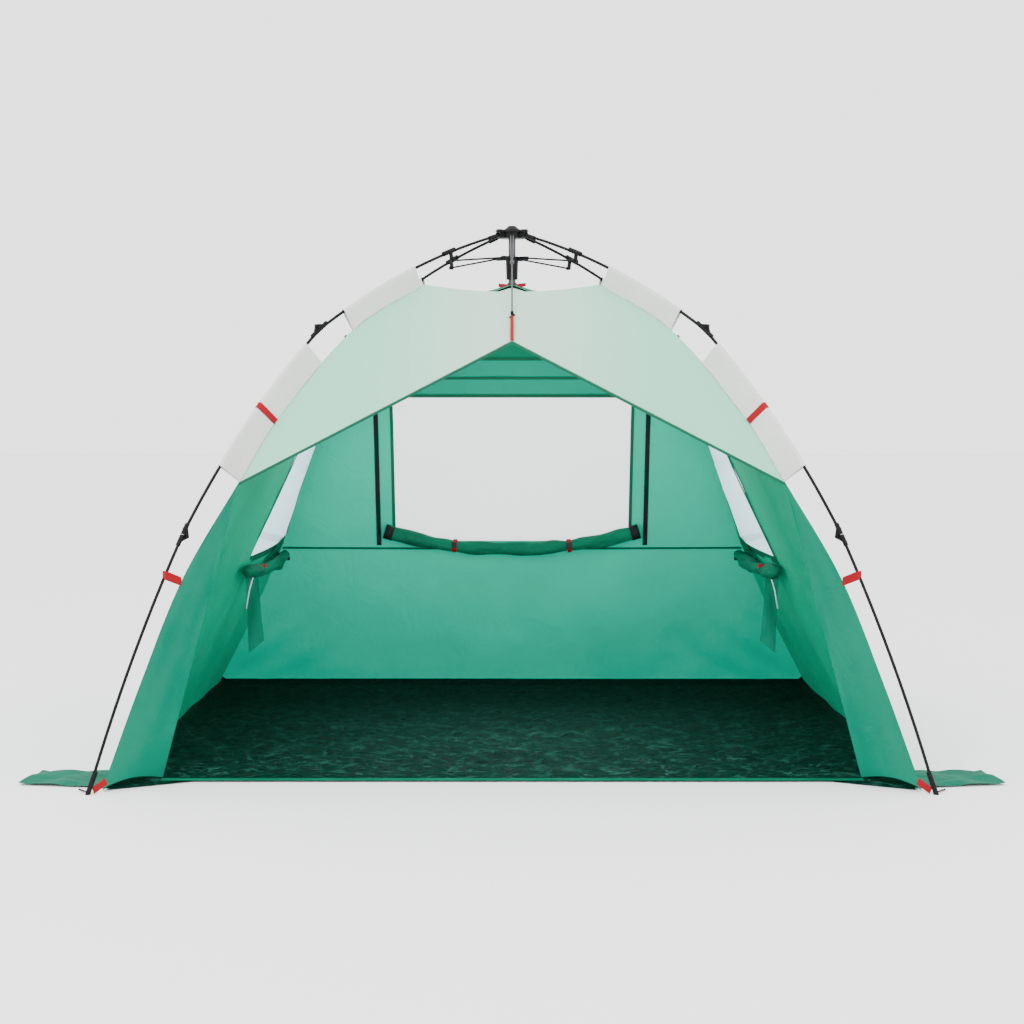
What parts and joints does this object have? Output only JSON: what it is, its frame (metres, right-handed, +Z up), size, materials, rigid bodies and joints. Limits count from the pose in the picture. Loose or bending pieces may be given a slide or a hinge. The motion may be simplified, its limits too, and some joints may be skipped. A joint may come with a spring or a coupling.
{
  "type": "pop up tent",
  "caption": "Quick-release beach tent: umbrella hub with jointed folding legs, cloth canopy with an open front, mesh windows with rolled covers, and a groundsheet.",
  "frame": {"origin": "on the ground, under the hub's axis", "axes": "+Z up, the doorway faces -Y, +X to the right of a person who looks in at the doorway"},
  "size_m": [2.902, 2.0292, 1.7],
  "materials": {
    "moulding": "satin black moulded plastic",
    "pole": "black fibreglass rod",
    "steel_post": "black anodised tube",
    "spring_steel": "bright wire",
    "white_cloth": "woven polyester",
    "pale_cloth": "silver-coated polyester, pale",
    "green_cloth": "woven polyester, sea green",
    "mesh_cloth": "fine see-through mesh",
    "groundsheet_cloth": "coated polyethylene, dark green, glossy",
    "cord": "grey braid"
  },
  "bodies": {
    "root": {"hub_body": "moulding", "hub_cap": "moulding", "centre_post": "steel_post"},
    "runner": {"runner": "moulding", "lock_spring": "spring_steel"},
    "lock_button": {"lock_button": "moulding"},
    "upper_leg_front_left": {"pole_socket_front_left": "moulding", "upper_pole_front_left": "pole", "upper_fittings_front_left": "moulding", "upper_sleeve_front_left": "white_cloth"},
    "middle_leg_front_left": {"middle_pole_front_left": "pole", "middle_elbows_front_left": "moulding", "middle_sleeve_front_left": "white_cloth"},
    "lower_leg_front_left": {"lower_pole_front_left": "pole", "lower_fittings_front_left": "moulding"},
    "strut_front_left": {"strut_front_left": "moulding"},
    "upper_leg_front_right": {"pole_socket_front_right": "moulding", "upper_pole_front_right": "pole", "upper_fittings_front_right": "moulding", "upper_sleeve_front_right": "white_cloth"},
    "middle_leg_front_right": {"middle_pole_front_right": "pole", "middle_elbows_front_right": "moulding", "middle_sleeve_front_right": "white_cloth"},
    "lower_leg_front_right": {"lower_pole_front_right": "pole", "lower_fittings_front_right": "moulding"},
    "strut_front_right": {"strut_front_right": "moulding"},
    "upper_leg_rear_left": {"pole_socket_rear_left": "moulding", "upper_pole_rear_left": "pole", "upper_fittings_rear_left": "moulding", "upper_sleeve_rear_left": "white_cloth"},
    "middle_leg_rear_left": {"middle_pole_rear_left": "pole", "middle_elbows_rear_left": "moulding", "middle_sleeve_rear_left": "white_cloth"},
    "lower_leg_rear_left": {"lower_pole_rear_left": "pole", "lower_fittings_rear_left": "moulding"},
    "strut_rear_left": {"strut_rear_left": "moulding"},
    "upper_leg_rear_right": {"pole_socket_rear_right": "moulding", "upper_pole_rear_right": "pole", "upper_fittings_rear_right": "moulding", "upper_sleeve_rear_right": "white_cloth"},
    "middle_leg_rear_right": {"middle_pole_rear_right": "pole", "middle_elbows_rear_right": "moulding", "middle_sleeve_rear_right": "white_cloth"},
    "lower_leg_rear_right": {"lower_pole_rear_right": "pole", "lower_fittings_rear_right": "moulding"},
    "strut_rear_right": {"strut_rear_right": "moulding"},
    "left_wall": {"left_wall": "green_cloth", "left_window": "mesh_cloth"},
    "right_wall": {"right_wall": "green_cloth", "right_window": "mesh_cloth"},
    "rear_wall": {"rear_wall": "green_cloth", "rear_window": "mesh_cloth", "rear_window_roll": "green_cloth"},
    "front_canopy": {"front_canopy": "pale_cloth"},
    "groundsheet_left": {"groundsheet_left": "groundsheet_cloth"},
    "groundsheet_right": {"groundsheet_right": "groundsheet_cloth"},
    "hanger": {"hanger_cord": "cord", "hanger_hook": "moulding"},
    "zip_slider_left": {"zip_slider_left": "moulding"},
    "zip_slider_right": {"zip_slider_right": "moulding"}
  },
  "joints": [
    {"name": "fold_front_left", "type": "hinge", "parent": "root", "child": "upper_leg_front_left", "pos_m": [-0.04072, -0.03393, 1.668], "axis": [0.6402, -0.7682, 0], "range_deg": [0, 62]},
    {"name": "upper_elbow_front_left", "type": "hinge", "parent": "upper_leg_front_left", "child": "middle_leg_front_left", "pos_m": [-0.60066, -0.50055, 1.34782], "axis": [0.6402, -0.7682, 0], "range_deg": [-196, 0], "deforming": ["upper_sleeve_front_left", "middle_sleeve_front_left"]},
    {"name": "lower_elbow_front_left", "type": "hinge", "parent": "middle_leg_front_left", "child": "lower_leg_front_left", "pos_m": [-0.95658, -0.79715, 0.71984], "axis": [0.6402, -0.7682, 0], "range_deg": [0, 163]},
    {"name": "fold_front_right", "type": "hinge", "parent": "root", "child": "upper_leg_front_right", "pos_m": [0.04072, -0.03393, 1.668], "axis": [0.6402, 0.7682, 0], "range_deg": [0, 62]},
    {"name": "upper_elbow_front_right", "type": "hinge", "parent": "upper_leg_front_right", "child": "middle_leg_front_right", "pos_m": [0.60066, -0.50055, 1.34782], "axis": [0.6402, 0.7682, 0], "range_deg": [-196, 0], "deforming": ["upper_sleeve_front_right", "middle_sleeve_front_right"]},
    {"name": "lower_elbow_front_right", "type": "hinge", "parent": "middle_leg_front_right", "child": "lower_leg_front_right", "pos_m": [0.95658, -0.79715, 0.71984], "axis": [0.6402, 0.7682, 0], "range_deg": [0, 163]},
    {"name": "fold_rear_left", "type": "hinge", "parent": "root", "child": "upper_leg_rear_left", "pos_m": [-0.04072, 0.03393, 1.668], "axis": [-0.6402, -0.7682, 0], "range_deg": [0, 62]},
    {"name": "upper_elbow_rear_left", "type": "hinge", "parent": "upper_leg_rear_left", "child": "middle_leg_rear_left", "pos_m": [-0.60066, 0.50055, 1.34782], "axis": [-0.6402, -0.7682, 0], "range_deg": [-196, 0], "deforming": ["upper_sleeve_rear_left", "middle_sleeve_rear_left"]},
    {"name": "lower_elbow_rear_left", "type": "hinge", "parent": "middle_leg_rear_left", "child": "lower_leg_rear_left", "pos_m": [-0.95658, 0.79715, 0.71984], "axis": [-0.6402, -0.7682, 0], "range_deg": [0, 163]},
    {"name": "fold_rear_right", "type": "hinge", "parent": "root", "child": "upper_leg_rear_right", "pos_m": [0.04072, 0.03393, 1.668], "axis": [-0.6402, 0.7682, 0], "range_deg": [0, 62]},
    {"name": "upper_elbow_rear_right", "type": "hinge", "parent": "upper_leg_rear_right", "child": "middle_leg_rear_right", "pos_m": [0.60066, 0.50055, 1.34782], "axis": [-0.6402, 0.7682, 0], "range_deg": [-196, 0], "deforming": ["upper_sleeve_rear_right", "middle_sleeve_rear_right"]},
    {"name": "lower_elbow_rear_right", "type": "hinge", "parent": "middle_leg_rear_right", "child": "lower_leg_rear_right", "pos_m": [0.95658, 0.79715, 0.71984], "axis": [-0.6402, 0.7682, 0], "range_deg": [0, 163]},
    {"name": "runner_slide", "type": "slide", "parent": "root", "child": "runner", "axis": [0, 0, 1], "range_m": [0, 0.0569]},
    {"name": "strut_hinge_front_left", "type": "hinge", "parent": "runner", "child": "strut_front_left", "pos_m": [-0.0306, -0.04451, 1.592], "axis": [0.6402, -0.7682, 0], "range_deg": [0, 80.66]},
    {"name": "strut_hinge_front_right", "type": "hinge", "parent": "runner", "child": "strut_front_right", "pos_m": [0.04929, -0.02207, 1.592], "axis": [0.6402, 0.7682, 0], "range_deg": [0, 80.66]},
    {"name": "strut_hinge_rear_left", "type": "hinge", "parent": "runner", "child": "strut_rear_left", "pos_m": [-0.04929, 0.02207, 1.592], "axis": [-0.6402, -0.7682, 0], "range_deg": [0, 80.66]},
    {"name": "strut_hinge_rear_right", "type": "hinge", "parent": "runner", "child": "strut_rear_right", "pos_m": [0.0306, 0.04451, 1.592], "axis": [-0.6402, 0.7682, 0], "range_deg": [0, 80.66]},
    {"name": "lock_button_press", "type": "slide", "parent": "runner", "child": "lock_button", "axis": [0, 1, 0], "range_m": [0, 0.003], "stiffness_N_per_m": 400, "deforming": ["lock_spring"]},
    {"name": "left_wall_gather", "type": "hinge", "parent": "root", "child": "left_wall", "pos_m": [-0.644, 0, 1.882], "axis": [0, -1, 0], "range_deg": [0, 31.1], "deforming": ["left_wall", "left_window"]},
    {"name": "right_wall_gather", "type": "hinge", "parent": "root", "child": "right_wall", "pos_m": [0.644, 0, 1.882], "axis": [0, 1, 0], "range_deg": [0, 31.1], "deforming": ["right_wall", "right_window"]},
    {"name": "rear_wall_gather", "type": "hinge", "parent": "root", "child": "rear_wall", "pos_m": [0, 0.532, 1.839], "axis": [-1, 0, 0], "range_deg": [0, 26.1], "deforming": ["rear_wall", "rear_window", "rear_window_roll"]},
    {"name": "front_canopy_gather", "type": "hinge", "parent": "root", "child": "front_canopy", "pos_m": [0, -0.03, 1.6], "axis": [1, 0, 0], "range_deg": [0, 50], "deforming": ["front_canopy"]},
    {"name": "groundsheet_left_gather", "type": "hinge", "parent": "root", "child": "groundsheet_left", "pos_m": [0, 0, 0.0006], "axis": [0, 1, 0], "range_deg": [0, 88], "deforming": ["groundsheet_left"]},
    {"name": "groundsheet_right_gather", "type": "hinge", "parent": "root", "child": "groundsheet_right", "pos_m": [0, 0, 0.0006], "axis": [0, -1, 0], "range_deg": [0, 88], "deforming": ["groundsheet_right"]},
    {"name": "hanger_gather", "type": "hinge", "parent": "root", "child": "hanger", "pos_m": [0, -0.041, 1.664], "axis": [1, 0, 0], "range_deg": [0, 46.9], "deforming": ["hanger_cord", "hanger_hook"]},
    {"name": "zip_slide_left", "type": "slide", "parent": "rear_wall", "child": "zip_slider_left", "axis": [0, -0.308, 0.9514], "range_m": [0, 0.509]},
    {"name": "zip_slide_right", "type": "slide", "parent": "rear_wall", "child": "zip_slider_right", "axis": [0, -0.308, 0.9514], "range_m": [0, 0.509]}
  ],
  "couplings": [
    {"joint": "upper_elbow_front_left", "follows": "fold_front_left", "ratio": -3.1613},
    {"joint": "lower_elbow_front_left", "follows": "fold_front_left", "ratio": 2.629},
    {"joint": "fold_front_right", "follows": "fold_front_left", "ratio": 1},
    {"joint": "upper_elbow_front_right", "follows": "fold_front_left", "ratio": -3.1613},
    {"joint": "lower_elbow_front_right", "follows": "fold_front_left", "ratio": 2.629},
    {"joint": "fold_rear_left", "follows": "fold_front_left", "ratio": 1},
    {"joint": "upper_elbow_rear_left", "follows": "fold_front_left", "ratio": -3.1613},
    {"joint": "lower_elbow_rear_left", "follows": "fold_front_left", "ratio": 2.629},
    {"joint": "fold_rear_right", "follows": "fold_front_left", "ratio": 1},
    {"joint": "upper_elbow_rear_right", "follows": "fold_front_left", "ratio": -3.1613},
    {"joint": "lower_elbow_rear_right", "follows": "fold_front_left", "ratio": 2.629},
    {"joint": "runner_slide", "follows": "fold_front_left", "m_per_rad": 0.052573},
    {"joint": "strut_hinge_front_left", "follows": "fold_front_left", "ratio": 1.301},
    {"joint": "strut_hinge_front_right", "follows": "fold_front_left", "ratio": 1.301},
    {"joint": "strut_hinge_rear_left", "follows": "fold_front_left", "ratio": 1.301},
    {"joint": "strut_hinge_rear_right", "follows": "fold_front_left", "ratio": 1.301},
    {"joint": "left_wall_gather", "follows": "fold_front_left", "ratio": 0.50161},
    {"joint": "right_wall_gather", "follows": "fold_front_left", "ratio": 0.50161},
    {"joint": "rear_wall_gather", "follows": "fold_front_left", "ratio": 0.42097},
    {"joint": "front_canopy_gather", "follows": "fold_front_left", "ratio": 0.80645},
    {"joint": "groundsheet_left_gather", "follows": "fold_front_left", "ratio": 1.4194},
    {"joint": "groundsheet_right_gather", "follows": "fold_front_left", "ratio": 1.4194},
    {"joint": "hanger_gather", "follows": "fold_front_left", "ratio": 0.75645}
  ]
}
